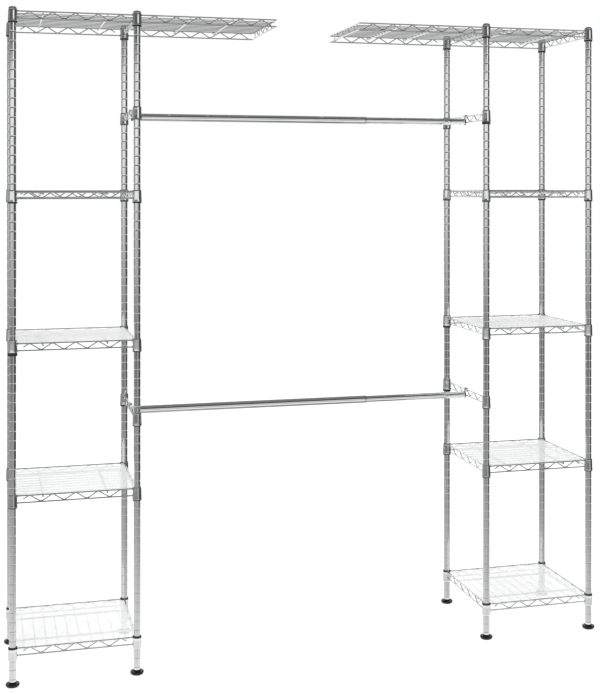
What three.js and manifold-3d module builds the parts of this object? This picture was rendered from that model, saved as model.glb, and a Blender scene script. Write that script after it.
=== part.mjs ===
// Open frame wardrobe: two wire-shelf towers joined by two telescoping hanging rods.
// Millimetres, +Z up. The front faces -Y and the origin lies on the floor, in the middle.
import * as THREE from 'three';
import { mergeVertices } from 'three/addons/utils/BufferGeometryUtils.js';
import Module from 'manifold-3d';

const wasm = await Module();
wasm.setup();

// The whole wardrobe
const polePitch = 330.2; // between pole axes, across and deep
const openSpan = 1025; // between the two towers' inner pole axes, at the photographed width
const overhang = 392; // from the inner pole axes to the tip of a top shelf
const fit = 0.3; // clearance between pieces that seat on each other

// Heights: everything clips onto the poles' grooves
const groovePitch = 25.4;
const lowestClip = 71.1; // the bottom shelf's clip height above the floor
const shelfGrooveCounts = { bottom: 0, low: 16, middle: 32, high: 48, top: 67 };
const bracketGrooveCounts = { lower: 24, upper: 57 };

// Poles, with a threaded insert in the lower end
const poleDiameter = 19;
const poleWall = 1;
const insertLength = 30;

// Levelling feet
const footBaseDiameter = 27;
const footDiameter = 37;
const footBellyHeight = 5.5;
const footRimHeight = 7.8;
const footShoulderDiameter = 31.5;
const footShoulderHeight = 10;
const footNeckDiameter = 21;
const footHeight = 11.7;
const stemDiameter = 8;
const stemLength = 38;

// Pole caps
const capDiameter = 23;
const capRim = 1.4;
const capShoulderDiameter = 18.4;
const capShoulderHeight = 4.4;
const capCrownDiameter = 9;
const capHeight = 6;
const plugLength = 15;

// Collars at the shelf and bracket corners, wide end down, each with its plastic sleeve
const collarHeight = 36;
const collarDrop = 2; // how far a collar reaches below its clip height
const collarWideDiameter = 26;
const collarNarrowDiameter = 24.4;
const weld = 0.6; // how far a wire end reaches into a collar's wall from its bore

// Wires of a shelf. Rail heights are measured from the clip height.
const railWire = 3.8;
const lowRailHeight = 11;
const highRailHeight = 29.6;
const zigzagPitch = 60.6;
const firstPeak = 43.9; // from a pole axis to the zigzag's first bend
const deckPitch = 30;
const deckWire = 2.8;
const deckDrop = 1.4; // the deck wires' axes below the high rails' axes
const ribWire = 5.5;
const ribShare = 0.26; // of the pole pitch, each side of the middle
const overhangRibShares = [0.378, 0.681];
const overhangFirstPeak = 48.7;
const lastValley = 13.3; // from the zigzag's last bend to the tip
const stubShare = 0.5; // of the rails' spacing, for the zigzag's free ends

// Liner sheets
const linerThickness = 1;
const linerGap = 0.6; // from a liner's edge to the high rails round it
const linerCorner = 15;

// Hanging rods: an outer tube from the left tower, an inner tube from the right tower
const outerTube = { diameter: 22.2, wall: 1.2, length: 695 };
const innerTube = { diameter: outerTube.diameter - 2 * outerTube.wall - 2 * fit, wall: 1, length: 750 };
const rodRise = 13; // the rod's axis above its brackets' clip height
const hookPlate = 3;
const hookWidth = 16;
const hookLip = 8;
const shankLength = 22;

// How round things are approximated
const roundFacets = 12;
const collarFacets = 8;
const mergeShare = 1e-7;

// Values that follow from those above
const halfPitch = polePitch / 2;
const poleRadius = poleDiameter / 2;
const poleBore = poleRadius - poleWall;
const poleFoot = footHeight + fit;
const poleTop = clipHeight(shelfGrooveCounts.top) + collarHeight - collarDrop;
const halfRail = railWire / 2;
const railSpan = highRailHeight - lowRailHeight;
const deckTop = highRailHeight - deckDrop + deckWire / 2;
const deckUnderside = deckTop - deckWire;
const collarBore = (poleRadius + fit) / Math.cos(Math.PI / collarFacets);
const railStart = poleRadius + fit + weld;
const towerCentre = openSpan / 2 + halfPitch;
const linerSize = polePitch - railWire - 2 * linerGap;

const finishes = {
  chrome: { color: 0xc9ccd0, roughness: 0.16, metalness: 1 },
  tube: { color: 0xb9bcc1, roughness: 0.12, metalness: 1 },
  black: { color: 0x17181a, roughness: 0.45, metalness: 0 },
  liner: { color: 0xf2f4f5, roughness: 0.35, metalness: 0, transparent: true, opacity: 0.6 },
};

function clipHeight(grooves) {
  return lowestClip + grooves * groovePitch;
}

// A closed solid from a geometry whose faces all point one way
function solidOf(geometry) {
  const bare = new THREE.BufferGeometry();
  bare.setAttribute('position', geometry.getAttribute('position'));
  bare.setIndex(geometry.getIndex());
  const merged = mergeVertices(bare, mergeShare * polePitch);
  const places = merged.getAttribute('position').array;
  const index = merged.getIndex().array;
  const corner = (n) => new THREE.Vector3().fromArray(places, 3 * n);
  const faces = [];
  let volume = 0;
  for (let i = 0; i < index.length; i += 3) {
    const [a, b, c] = index.slice(i, i + 3);
    if (a === b || b === c || c === a) continue;
    faces.push(a, b, c);
    volume += corner(a).dot(corner(b).cross(corner(c)));
  }
  if (volume < 0) faces.reverse();
  const mesh = new wasm.Mesh({
    numProp: 3,
    vertProperties: new Float32Array(places),
    triVerts: new Uint32Array(faces),
  });
  return new wasm.Manifold(mesh);
}

function joined(geometries) {
  return geometries.map(solidOf).reduce((whole, next) => whole.add(next));
}

function geometryOf(solid) {
  const { vertProperties, triVerts } = solid.getMesh();
  const geometry = new THREE.BufferGeometry();
  geometry.setAttribute('position', new THREE.BufferAttribute(vertProperties, 3));
  geometry.setIndex(new THREE.BufferAttribute(triVerts, 1));
  return geometry;
}

// A turned piece about Z from [radius, height] points. A ring's outline closes on itself.
function turned(outline, facets = roundFacets) {
  const points = outline.map(([radius, height]) => new THREE.Vector2(radius, height));
  const onAxis = points[0].x === 0 && points.at(-1).x === 0;
  if (!onAxis) points.push(points[0].clone());
  return new THREE.LatheGeometry(points, facets, Math.PI / facets).rotateX(Math.PI / 2);
}

// A straight bar between two opposite corners
function bar(low, high) {
  const [width, depth, height] = high.map((value, i) => value - low[i]);
  const [x, y, z] = high.map((value, i) => (value + low[i]) / 2);
  return new THREE.BoxGeometry(width, depth, height).translate(x, y, z);
}

// A flat piece of even thickness, centred on the plane y = 0, from [x, z] points
function flat(outline, thickness) {
  const shape = new THREE.Shape(outline.map(([x, z]) => new THREE.Vector2(x, z)));
  const piece = new THREE.ExtrudeGeometry(shape, { depth: thickness, bevelEnabled: false });
  return piece.rotateX(Math.PI / 2).translate(0, thickness / 2, 0);
}

// A truss panel along X, in the plane y = 0. A zigzag of bars joins the two rails, and its bends
// lie on the rails' axes, evenly spaced between the first and the last. Where the zigzag ends on
// the high rail, a short free stub of it runs on down towards the post.
function truss({ from, to, firstBend, lastBend, startsHigh = true, endsHigh = true, wire = railWire }) {
  const half = wire / 2;
  const odd = startsHigh === endsHigh ? 0 : 1;
  const pairs = Math.max(1, Math.round((lastBend - firstBend) / zigzagPitch - odd / 2));
  const bars = 2 * pairs + odd;
  const step = (lastBend - firstBend) / bars;
  const lean = (half * Math.hypot(step, railSpan)) / railSpan;
  const tip = (lean * railSpan) / step;
  const isHigh = (bend) => (bend % 2 === 0) === startsHigh;
  const top = highRailHeight - half;
  const low = lowRailHeight + half;
  const stubEnd = highRailHeight - railSpan * stubShare;

  // The x of one side of a bar at a height
  const edge = (n, side, height) => {
    const start = isHigh(n) ? highRailHeight : lowRailHeight;
    return firstBend + step * (n + Math.abs(height - start) / railSpan) + side * lean;
  };
  // The same for the bar that would come before the first one
  const before = (side, height) => 2 * firstBend - edge(0, -side, height);

  const windows = [];
  for (let bend = 1; bend < bars; bend += 1) {
    const base = isHigh(bend) ? low : top;
    const apex = isHigh(bend) ? highRailHeight - tip : lowRailHeight + tip;
    windows.push([
      [edge(bend - 1, 1, base), base],
      [edge(bend, -1, base), base],
      [firstBend + bend * step, apex],
    ]);
  }
  const startGap = startsHigh
    ? [[firstBend, highRailHeight - tip], [before(1, stubEnd), stubEnd], [before(-1, stubEnd), stubEnd],
      [before(-1, top), top]]
    : [[edge(0, -1, top), top]];
  windows.push([[from - wire, low], [edge(0, -1, low), low], ...startGap, [from - wire, top]]);
  const endGap = endsHigh
    ? [[lastBend, highRailHeight - tip], [edge(bars, -1, stubEnd), stubEnd], [edge(bars, 1, stubEnd), stubEnd],
      [edge(bars, 1, top), top]]
    : [[edge(bars - 1, 1, top), top]];
  windows.push([[to + wire, low], [edge(bars - 1, 1, low), low], ...endGap, [to + wire, top]]);

  const panel = solidOf(bar([from, -half, low - wire], [to, half, top + wire]));
  const cut = windows.map((outline) => solidOf(flat(outline, 2 * wire)));
  return geometryOf(cut.reduce((rest, window) => rest.subtract(window), panel));
}

// The truss between two collars that stand a pole pitch apart, centred on x = 0
function collarTruss() {
  return truss({
    from: railStart - halfPitch,
    to: halfPitch - railStart,
    firstBend: firstPeak - halfPitch,
    lastBend: halfPitch - firstPeak,
  });
}

function acrossDepth(geometry) {
  return geometry.rotateZ(Math.PI / 2);
}

function collar(x, y) {
  const outline = [
    [collarBore, -collarDrop],
    [collarWideDiameter / 2, -collarDrop],
    [collarNarrowDiameter / 2, collarHeight - collarDrop],
    [collarBore, collarHeight - collarDrop],
  ];
  return turned(outline, collarFacets).translate(x, y, 0);
}

function fourCollars() {
  return [-halfPitch, halfPitch].flatMap((x) => [-halfPitch, halfPitch].map((y) => collar(x, y)));
}

// The four trusses round a tower, at a shelf's own height
function trussRing() {
  return [-halfPitch, halfPitch].flatMap((place) => [
    collarTruss().translate(0, place, 0),
    acrossDepth(collarTruss()).translate(place, 0, 0),
  ]);
}

// Thin wires that run from one end truss to the other
function deck(start, end) {
  const count = Math.round(polePitch / deckPitch) - 1;
  const spacing = polePitch / (count + 1);
  return Array.from({ length: count }, (_, i) => {
    const y = (i + 1) * spacing - halfPitch;
    const half = deckWire / 2;
    return bar([start, y - half, deckUnderside], [end, y + half, deckTop]);
  });
}

// A thicker wire under the deck, from the front truss to the rear one, its ends turned up to the
// high rails
function rib(x) {
  const half = ribWire / 2;
  const reach = halfPitch - weld;
  const top = deckUnderside - fit;
  const seat = highRailHeight - halfRail + weld;
  const ends = [[-reach, deckWire - reach], [reach - deckWire, reach]].map(([near, far]) =>
    bar([x - half, near, top - half], [x + half, far, seat]));
  return [bar([x - half, -reach, top - ribWire], [x + half, reach, top]), ...ends];
}

function smallShelf() {
  const reach = halfPitch - weld;
  return geometryOf(joined([
    ...trussRing(),
    ...deck(-reach, reach),
    ...[-1, 1].flatMap((side) => rib(side * ribShare * polePitch)),
    ...fourCollars(),
  ]));
}

// A top shelf is a small shelf that runs on past the inner poles to a free tip
function topShelf() {
  const tip = halfPitch + overhang;
  const tipWire = railWire - weld / 2;
  const side = () => truss({
    from: halfPitch + railStart,
    to: tip - weld,
    firstBend: halfPitch + overhangFirstPeak,
    lastBend: tip - lastValley,
    endsHigh: false,
  });
  const tipReach = halfPitch + halfRail - weld;
  const tipTruss = truss({
    from: -tipReach,
    to: tipReach,
    firstBend: firstPeak - halfPitch,
    lastBend: halfPitch - firstPeak,
    startsHigh: false,
    endsHigh: false,
    wire: tipWire,
  });
  return geometryOf(joined([
    ...trussRing(),
    side().translate(0, -halfPitch, 0),
    side().translate(0, halfPitch, 0),
    acrossDepth(tipTruss).translate(tip - tipWire / 2, 0, 0),
    ...deck(weld - halfPitch, tip - tipWire / 2),
    ...[-1, 1].flatMap((sign) => rib(sign * ribShare * polePitch)),
    ...overhangRibShares.flatMap((share) => rib(halfPitch + share * overhang)),
    ...fourCollars(),
  ]));
}

// The side bracket that carries a rod, between an inner front and an inner rear pole
function bracket() {
  return geometryOf(joined([
    acrossDepth(collarTruss()),
    collar(0, -halfPitch),
    collar(0, halfPitch),
  ]));
}

function liner() {
  const half = linerSize / 2;
  const cut = half - linerCorner;
  const octagon = [[half, cut], [cut, half], [-cut, half], [-half, cut]];
  const outline = [...octagon, ...octagon.map(([x, y]) => [-x, -y])];
  const shape = new THREE.Shape(outline.map(([x, y]) => new THREE.Vector2(x, y)));
  const sheet = new THREE.ExtrudeGeometry(shape, { depth: linerThickness, bevelEnabled: false });
  return geometryOf(solidOf(sheet));
}

function pole() {
  const insertBore = stemDiameter / 2 + fit;
  return geometryOf(solidOf(turned([
    [insertBore, poleFoot],
    [poleRadius, poleFoot],
    [poleRadius, poleTop],
    [poleBore, poleTop],
    [poleBore, poleFoot + insertLength],
    [insertBore, poleFoot + insertLength],
  ])));
}

function foot() {
  return geometryOf(solidOf(turned([
    [0, 0],
    [footBaseDiameter / 2, 0],
    [footDiameter / 2, footBellyHeight],
    [footDiameter / 2, footRimHeight],
    [footShoulderDiameter / 2, footShoulderHeight],
    [footNeckDiameter / 2, footHeight],
    [stemDiameter / 2, footHeight],
    [stemDiameter / 2, footHeight + stemLength],
    [0, footHeight + stemLength],
  ])));
}

function cap() {
  const plug = poleBore - fit;
  return geometryOf(solidOf(turned([
    [0, -plugLength],
    [plug, -plugLength],
    [plug, 0],
    [capDiameter / 2, 0],
    [capDiameter / 2, capRim],
    [capShoulderDiameter / 2, capShoulderHeight],
    [capCrownDiameter / 2, capHeight],
    [0, capHeight],
  ])));
}

// The rod's end fitting: a hook over the bracket's high rail, with a shank that plugs the tube
function hook(tube) {
  const near = halfRail + fit;
  const far = near + hookPlate;
  const seat = highRailHeight + halfRail + fit;
  const outline = [
    [near, rodRise - tube.diameter / 2],
    [far, rodRise - tube.diameter / 2],
    [far, seat + hookPlate],
    [-far, seat + hookPlate],
    [-far, highRailHeight - hookLip],
    [-near, highRailHeight - hookLip],
    [-near, seat],
    [near, seat],
  ];
  const plate = flat(outline, hookWidth);
  const radius = tube.diameter / 2 - tube.wall - fit;
  const shank = turned([[0, -weld], [radius, -weld], [radius, shankLength], [0, shankLength]]);
  shank.rotateY(Math.PI / 2).translate(far, 0, rodRise);
  return geometryOf(joined([plate, shank]));
}

function rodTube(tube) {
  const outside = tube.diameter / 2;
  const inside = outside - tube.wall;
  const start = halfRail + fit + hookPlate + fit;
  const end = start + tube.length;
  const wall = turned([[inside, start], [outside, start], [outside, end], [inside, end]]);
  return geometryOf(solidOf(wall.rotateY(Math.PI / 2).translate(0, 0, rodRise)));
}

function named(name, geometry, finish) {
  const mesh = new THREE.Mesh(geometry, new THREE.MeshStandardMaterial({ ...finishes[finish], name: finish }));
  mesh.name = name;
  return mesh;
}

// One tower in its own frame, with the inner poles towards +X
function tower(side, isTurned, tube) {
  const group = new THREE.Group();
  const place = (mesh, x, y, z) => {
    mesh.position.set(x, y, z);
    group.add(mesh);
  };
  for (const across of [-1, 1]) {
    for (const deep of [-1, 1]) {
      const isFront = (deep < 0) !== isTurned;
      const corner = `${side}_${across < 0 ? 'outer' : 'inner'}_${isFront ? 'front' : 'rear'}`;
      const [x, y] = [across * halfPitch, deep * halfPitch];
      place(named(`${corner}_pole`, pole(), 'chrome'), x, y, 0);
      place(named(`${corner}_cap`, cap(), 'chrome'), x, y, poleTop + fit);
      place(named(`${corner}_foot`, foot(), 'black'), x, y, 0);
    }
  }
  for (const [level, grooves] of Object.entries(shelfGrooveCounts)) {
    const isTop = level === 'top';
    const height = clipHeight(grooves);
    const shelf = named(`${side}_${level}_shelf`, isTop ? topShelf() : smallShelf(), 'chrome');
    place(shelf, 0, 0, height);
    if (isTop) continue;
    // The bottom shelf is clipped on a quarter turn from the others
    if (level === 'bottom') shelf.rotation.z = Math.PI / 2;
    place(named(`${side}_${level}_liner`, liner(), 'liner'), 0, 0, height + deckTop + fit);
  }
  for (const [level, grooves] of Object.entries(bracketGrooveCounts)) {
    const height = clipHeight(grooves);
    const part = (kind) => `${side}_${level}_${kind}`;
    place(named(part('bracket'), bracket(), 'chrome'), halfPitch, 0, height);
    place(named(part('rod_hook'), hook(tube), 'black'), halfPitch, 0, height);
    place(named(part('rod_tube'), rodTube(tube), 'tube'), halfPitch, 0, height);
  }
  return group;
}

const wardrobe = new THREE.Group();
const leftTower = tower('left', false, outerTube);
leftTower.position.x = -towerCentre;
const rightTower = tower('right', true, innerTube);
rightTower.position.x = towerCentre;
rightTower.rotation.z = Math.PI;
wardrobe.add(leftTower, rightTower);

export default wardrobe;
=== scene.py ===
"""Open frame wardrobe: the finished look of two wire-shelf towers and the rods between them.

Every size is in metres, in the frame of the solids: X to the right, the front towards -Y, Z up.
"""

from __future__ import annotations

import logging
import math
from collections.abc import Iterable, Sequence
from dataclasses import dataclass, field
from enum import Enum

import bpy
import numpy as np
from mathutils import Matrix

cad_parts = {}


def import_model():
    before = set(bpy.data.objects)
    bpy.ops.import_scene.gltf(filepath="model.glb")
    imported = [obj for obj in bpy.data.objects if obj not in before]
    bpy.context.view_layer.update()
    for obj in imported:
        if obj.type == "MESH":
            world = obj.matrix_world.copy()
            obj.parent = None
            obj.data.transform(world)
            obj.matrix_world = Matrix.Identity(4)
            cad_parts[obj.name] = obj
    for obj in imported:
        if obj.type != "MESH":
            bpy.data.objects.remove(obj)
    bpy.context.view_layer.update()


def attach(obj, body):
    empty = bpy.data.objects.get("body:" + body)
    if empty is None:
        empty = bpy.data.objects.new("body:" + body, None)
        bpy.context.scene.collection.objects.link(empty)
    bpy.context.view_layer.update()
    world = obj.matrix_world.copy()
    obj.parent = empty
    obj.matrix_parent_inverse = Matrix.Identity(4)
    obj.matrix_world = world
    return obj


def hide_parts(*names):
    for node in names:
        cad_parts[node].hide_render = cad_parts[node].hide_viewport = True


LOG = logging.getLogger("wardrobe")
MM = 0.001
ACROSS, DEEP, UP = np.eye(3)
Triple = tuple[float, float, float]


# Surfaces


@dataclass
class Surface:
    """Points in metres, and faces as arrays of corner numbers, one array for each face size."""

    points: np.ndarray
    faces: list[np.ndarray]

    def moved(self, x: float = 0.0, y: float = 0.0, z: float = 0.0) -> Surface:
        """The same surface, moved by x, y and z."""
        return Surface(self.points + np.array([x, y, z]), self.faces)

    def turned(self, quarters: int) -> Surface:
        """The same surface, turned about the vertical by whole quarter turns."""
        cos, sin = [(1, 0), (0, 1), (-1, 0), (0, -1)][quarters % 4]
        turn = np.array([[cos, -sin, 0], [sin, cos, 0], [0, 0, 1]], dtype=float)
        return Surface(self.points @ turn.T, self.faces)

    def lying(self) -> Surface:
        """The same surface with its vertical axis laid along +X: z, x, y become x, y, z."""
        return Surface(self.points[:, [2, 0, 1]], self.faces)


def merged(parts: Iterable[Surface]) -> Surface:
    """One surface that holds all the parts, each with its own points.

    Args:
        parts: the surfaces to put together.

    Returns:
        The points of all parts in order, with each part's corner numbers raised to match.
    """
    parts = list(parts)
    starts = np.cumsum([0] + [len(part.points) for part in parts])
    faces = [face + start for part, start in zip(parts, starts) for face in part.faces]
    return Surface(np.concatenate([part.points for part in parts]), faces)


def unit(vectors: np.ndarray) -> np.ndarray:
    """The vectors, each at length 1."""
    return vectors / np.linalg.norm(vectors, axis=-1, keepdims=True)


def around(angle: np.ndarray) -> np.ndarray:
    """The points (cos a, sin a) at the angles a."""
    return np.stack([np.cos(angle), np.sin(angle)], axis=-1)


def full_turn(sides: int) -> np.ndarray:
    """Evenly spaced angles round a whole turn."""
    return np.linspace(0, 2 * math.pi, sides, endpoint=False)


def raised(rows: np.ndarray, height: np.ndarray) -> np.ndarray:
    """Rows of points in x and y, each row put at its own height."""
    level = np.broadcast_to(height[:, None, None], (*rows.shape[:2], 1))
    return np.concatenate([rows, level], axis=-1)


def rings(outline: np.ndarray, angle: np.ndarray) -> np.ndarray:
    """Point (i, j) = (r cos a, r sin a, h), with r and h of outline point i, and a = angle j."""
    return raised(outline[:, :1, None] * around(angle), outline[:, 1])


def grid_faces(rows: int, columns: int, ring_rows: bool = False) -> np.ndarray:
    """Four-sided faces of a grid whose columns close on themselves.

    Args:
        rows: how many rows of points.
        columns: how many points in a row.
        ring_rows: whether the last row joins the first one too.

    Returns:
        Corner numbers: (i, j), (i, j + 1), (i + 1, j + 1) and (i + 1, j), counted round.
    """
    i = np.arange(rows if ring_rows else rows - 1)[:, None]
    j = np.arange(columns)[None, :]
    after, below = (j + 1) % columns, (i + 1) % rows
    corners = [i * columns + j, i * columns + after, below * columns + after, below * columns + j]
    return np.stack(corners, axis=-1).reshape(-1, 4)


def closed_grid(points: np.ndarray) -> Surface:
    """A tube of rings, closed at both ends by fans to each end ring's middle.

    Args:
        points: rings of points, as rows by columns by 3.

    Returns:
        The rings' faces and two fans. The fan's hub is the mean of its ring.
    """
    rows, columns = points.shape[:2]
    hubs = points[[0, -1]].mean(axis=1)
    j = np.arange(columns)
    after, base, hub = (j + 1) % columns, (rows - 1) * columns, rows * columns
    low = np.stack([np.full(columns, hub), after, j], axis=1)
    high = np.stack([np.full(columns, hub + 1), base + j, base + after], axis=1)
    flat = np.concatenate([points.reshape(-1, 3), hubs])
    return Surface(flat, [grid_faces(rows, columns), low, high])


def lathe(outline: np.ndarray, sides: int = 40) -> Surface:
    """A piece turned about Z.

    Args:
        outline: radius and height of each point, upwards along the outside.
        sides: points in each ring.

    Returns:
        The outline's rings round a full turn. An outline that starts off the axis closes on
        itself as a ring.
    """
    points = rings(outline, full_turn(sides))
    if outline[0, 0] > 0 and outline[-1, 0] > 0:
        return Surface(points.reshape(-1, 3), [grid_faces(len(outline), sides, ring_rows=True)])
    return closed_grid(points)


def sweep(
    path: np.ndarray, section: np.ndarray, normal: np.ndarray, scale: np.ndarray | None = None
) -> Surface:
    """A section carried along a path that lies in one plane.

    Args:
        path: points of the path, n by 3.
        section: the section's points, k by 2: towards the path's side, and along the normal.
        normal: the plane's unit normal.
        scale: the section's size at each point of the path, 1 where left out.

    Returns:
        Point (i, j) = path i + scale i (section j's first value times side i, plus its second
        times the normal). The tangent is the path's central difference, and side = normal x
        tangent.
    """
    side = np.cross(normal, unit(np.gradient(path, axis=0)))
    size = np.ones(len(path)) if scale is None else scale
    across = section[None, :, :1] * side[:, None, :] + section[None, :, 1:] * normal
    return closed_grid(path[:, None, :] + size[:, None, None] * across)


def round_section(radius: float, sides: int = 12) -> np.ndarray:
    """A circle's points: radius times (cos a, sin a)."""
    return radius * around(full_turn(sides))


def strap_section(thickness: float, width: float, corner: float, steps: int = 4) -> np.ndarray:
    """A rectangle with round corners.

    Args:
        thickness: across the path.
        width: along the plane's normal.
        corner: the corners' radius.
        steps: points on each corner.

    Returns:
        The four corner arcs in turn, each its centre + corner (cos a, sin a).
    """
    angle = np.radians(np.arange(4)[:, None] * 90 + np.linspace(0, 90, steps))
    centre = np.array([thickness / 2 - corner, width / 2 - corner])
    centres = np.array([[1, 1], [-1, 1], [-1, -1], [1, -1]]) * centre
    return (centres[:, None, :] + corner * around(angle)).reshape(-1, 2)


def bent(corners: np.ndarray, reach: float, steps: int = 6, closed: bool = False) -> np.ndarray:
    """A path through corners, each rounded off.

    Args:
        corners: the corners, n by 2 or 3.
        reach: how far from a corner its bend starts.
        steps: points on each bend.
        closed: whether the last corner leads back to the first.

    Returns:
        For each bend the curve (1 - t)^2 A + 2 t (1 - t) B + t^2 C, where B is the corner and A
        and C lie on its two legs. An open path keeps its two end points.
    """
    legs = np.concatenate([corners[-1:], corners, corners[:1]]) if closed else corners
    b = legs[1:-1, None]
    back, ahead = unit(legs[:-2, None] - b), unit(legs[2:, None] - b)
    t = np.linspace(0, 1, steps)[None, :, None]
    curve = (1 - t) ** 2 * (b + reach * back) + 2 * t * (1 - t) * b + t**2 * (b + reach * ahead)
    curve = curve.reshape(-1, corners.shape[1])
    return curve if closed else np.concatenate([corners[:1], curve, corners[-1:]])


def wire(path: np.ndarray, radius: float, normal: np.ndarray, sides: int = 12) -> Surface:
    """A round wire along a path in one plane, with domed ends.

    Args:
        path: the wire's axis, n by 3.
        radius: the wire's radius.
        normal: the path's plane.
        sides: points round the wire.

    Returns:
        The swept wire. Past each end, rings of radius cos a at distance radius times sin a dome it.
    """
    start, end = unit(path[0] - path[1]), unit(path[-1] - path[-2])
    dome = np.radians([80, 45, 20])
    reach = radius * np.sin(dome)[:, None]
    whole = np.concatenate([path[0] + reach * start, path, path[-1] + reach[::-1] * end])
    scale = np.concatenate([np.cos(dome), np.ones(len(path)), np.cos(dome)[::-1]])
    return sweep(whole, round_section(radius, sides), normal, scale)


def straight(start: Triple, end: Triple, radius: float, sides: int = 12) -> Surface:
    """A straight level round wire from start to end."""
    return wire(np.linspace(start, end, 6), radius, UP, sides)


def arc(
    centre: tuple[float, float], radius: float, start: float, end: float, steps: int = 5
) -> np.ndarray:
    """Points of an arc: centre + radius (cos a, sin a), with a from start to end in degrees."""
    return np.array(centre) + radius * around(np.radians(np.linspace(start, end, steps)))


# Shader maths


class Value:
    """A node's output socket that takes part in Python sums; each sum adds its Math node."""

    def __init__(self, tree: bpy.types.NodeTree, socket: bpy.types.NodeSocket | None) -> None:
        """Keeps the tree and the socket."""
        self.tree = tree
        self.socket = socket

    def math(self, operation: str, *others: Value | float) -> Value:
        """A Math node of that operation on this value and the others."""
        return Shading(self.tree).node("ShaderNodeMath", {"operation": operation}, [self, *others])

    def __add__(self, other: Value | float) -> Value:
        """This plus other."""
        return self.math("ADD", other)

    __radd__ = __add__

    def __mul__(self, other: Value | float) -> Value:
        """This times other."""
        return self.math("MULTIPLY", other)

    __rmul__ = __mul__

    def __sub__(self, other: Value | float) -> Value:
        """This minus other."""
        return self.math("SUBTRACT", other)

    def __rsub__(self, other: float) -> Value:
        """Other minus this."""
        return (self * -1.0) + other

    def __truediv__(self, other: float) -> Value:
        """This over a number."""
        return self.math("DIVIDE", other)

    def between(self, low: float, high: float) -> Value:
        """0 below low, 1 above high, and a smooth step from one to the other."""
        inputs = {"Value": self, "From Min": low, "From Max": high}
        settings = {"interpolation_type": "SMOOTHSTEP"}
        return Shading(self.tree).node("ShaderNodeMapRange", settings, inputs)


Link = Value | float | Sequence[float]


class Shading:
    """Makes nodes in one tree."""

    def __init__(self, tree: bpy.types.NodeTree) -> None:
        """Keeps the tree."""
        self.tree = tree

    def node(
        self,
        kind: str,
        settings: dict[str, object] | None = None,
        inputs: dict[str | int, Link] | Sequence[Link] = (),
        output: str | int = 0,
    ) -> Value:
        """Adds any node.

        Args:
            kind: the node's type.
            settings: its properties, set first; "stops" is a ramp's list of place and colour.
            inputs: values or links, by socket name or number, or in socket order.
            output: the output wanted, by name or number.

        Returns:
            That output.
        """
        made = self.tree.nodes.new(kind)
        for name, value in (settings or {}).items():
            if name == "stops":
                self._stops(made.color_ramp, value)
            else:
                setattr(made, name, value)
        for key, value in inputs.items() if isinstance(inputs, dict) else enumerate(inputs):
            if isinstance(value, Value):
                self.tree.links.new(value.socket, made.inputs[key])
            else:
                made.inputs[key].default_value = value
        return Value(self.tree, made.outputs[output] if len(made.outputs) else None)

    @staticmethod
    def _stops(ramp: bpy.types.ColorRamp, stops: Sequence[tuple[float, Triple]]) -> None:
        """Sets a ramp's stops.

        Args:
            ramp: the ramp.
            stops: the place and the colour of each stop.
        """
        while len(ramp.elements) < len(stops):
            ramp.elements.new(0.5)
        for element, (place, colour) in zip(ramp.elements, stops):
            element.position = place
            element.color = (*colour, 1.0)

    def noise(
        self, place: Value, scale: float, detail: float, stretch: Triple = (1.0, 1.0, 1.0)
    ) -> Value:
        """A noise value about 0.5.

        Args:
            place: the coordinates it reads.
            scale: how fine it is.
            detail: how many octaves.
            stretch: the scale along each axis.

        Returns:
            The noise, from 0 to 1.
        """
        at = self.node("ShaderNodeMapping", {}, {"Vector": place, "Scale": stretch})
        inputs = {"Vector": at, "Scale": scale, "Detail": detail}
        return self.node("ShaderNodeTexNoise", {}, inputs, "Fac")

    def shade(self, light: Triple, dark: Triple, mask: Value) -> Value:
        """A colour that goes from light to dark as the mask goes from 0 to 1."""
        settings = {"data_type": "RGBA", "clamp_factor": True}
        inputs = {0: mask, 6: (*light, 1.0), 7: (*dark, 1.0)}
        return self.node("ShaderNodeMix", settings, inputs, 2)

    def bump(self, height: Value, strength: float, depth: float) -> Value:
        """A normal bent by a height, with the strength from 0 to 1 and the depth in metres."""
        inputs = {"Height": height, "Strength": strength, "Distance": depth}
        return self.node("ShaderNodeBump", {}, inputs, "Normal")


def new_material(name: str) -> tuple[bpy.types.Material, Shading]:
    """An empty node material.

    Args:
        name: its name.

    Returns:
        The material and its node maker.
    """
    material = bpy.data.materials.new(name)
    material.use_nodes = True
    material.node_tree.nodes.clear()
    return material, Shading(material.node_tree)


@dataclass(frozen=True)
class Look:
    """What a surface is made of; each kind says what feeds its shader."""

    name: str

    def sockets(self, shading: Shading, place: Value) -> dict[str | int, Link]:
        """What feeds the shader, by socket, worked out from the place on the piece."""
        raise NotImplementedError

    def material(self) -> bpy.types.Material:
        """Makes the material.

        Returns:
            The material, its pattern fixed to the object's own coordinates.
        """
        material, shading = new_material(self.name)
        place = shading.node("ShaderNodeTexCoord", output="Object")
        surface = shading.node("ShaderNodeBsdfPrincipled", {}, self.sockets(shading, place))
        shading.node("ShaderNodeOutputMaterial", {}, [surface])
        return material


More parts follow.
